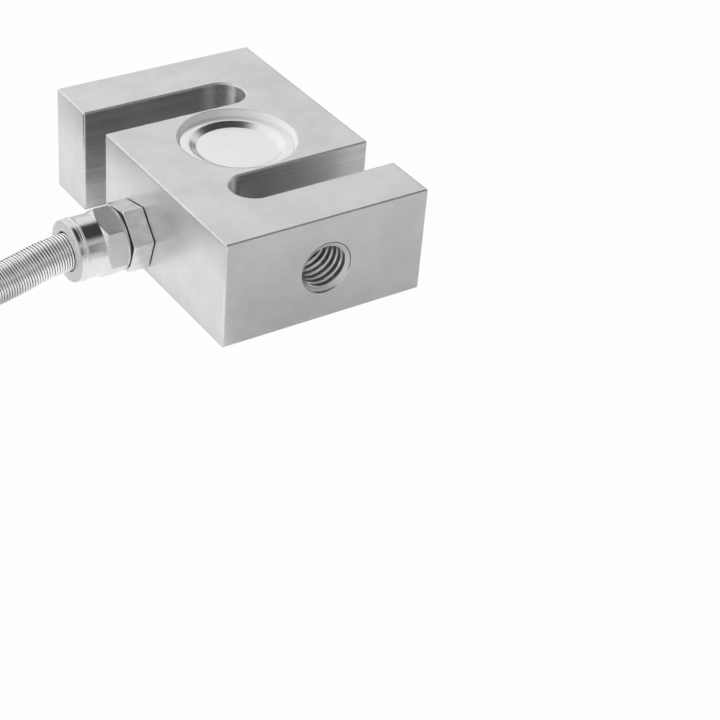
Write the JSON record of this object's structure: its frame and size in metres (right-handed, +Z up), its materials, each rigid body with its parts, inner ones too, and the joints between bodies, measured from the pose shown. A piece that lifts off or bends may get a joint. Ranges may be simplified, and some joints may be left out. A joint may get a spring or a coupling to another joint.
{
  "type": "s type load cell",
  "caption": "S-shaped tension and compression load cell of satin steel, with threaded ends, sealed gauge pockets, a side cable gland, spring guard and cable.",
  "frame": {"origin": "centre of the wide face that the cell lies on", "axes": "+X across the width, away from the cable gland, +Y along the load axis, +Z up through the thickness"},
  "size_m": [0.1551, 0.1492, 0.0254],
  "materials": {
    "satin_steel": "fine ground satin steel",
    "cup_steel": "pale matt pressed stainless steel",
    "nickel_plate": "polished nickel plate",
    "spring_steel": "bright drawn wire",
    "black_rubber": "matt",
    "cable_jacket": "matt moulded jacket",
    "tie_nylon": "natural nylon",
    "shrink_sleeve": "shrunk sleeve",
    "red_core": "wire insulation",
    "black_core": "wire insulation",
    "green_core": "wire insulation",
    "white_core": "wire insulation",
    "wire_insulation": "enamel and thin insulation",
    "tinned_copper": "tinned",
    "gauge_foil": "foil on amber film",
    "strip_board": "glass-fibre board",
    "resistor_body": "lacquered"
  },
  "bodies": {
    "root": {"s_body": "satin_steel", "upper_sealing_cup": "cup_steel", "lower_sealing_cup": "cup_steel", "upper_left_gauge": "gauge_foil", "upper_right_gauge": "gauge_foil", "lower_left_gauge": "gauge_foil", "lower_right_gauge": "gauge_foil", "upper_terminal_strip": "strip_board", "lower_terminal_strip": "strip_board", "zero_trim_resistor": "resistor_body", "span_trim_resistor": "resistor_body", "bridge_wires": "wire_insulation", "gauge_leads": "tinned_copper", "inner_leads": "wire_insulation", "gland_gasket": "black_rubber", "gland_body": "nickel_plate", "gland_o_ring": "black_rubber", "gland_seal": "black_rubber", "gland_nut": "nickel_plate", "guard_collar": "nickel_plate", "spring_guard": "spring_steel", "guard_ferrule": "nickel_plate", "cable_entry": "cable_jacket", "cable_run": "cable_jacket", "cable_coil": "cable_jacket", "cable_tail": "cable_jacket", "cable_tie_1": "tie_nylon", "cable_tie_2": "tie_nylon", "end_sleeve": "shrink_sleeve", "lead_red": "red_core", "lead_black": "black_core", "lead_green": "green_core", "lead_white": "white_core", "lead_tips": "tinned_copper"}
  },
  "joints": []
}
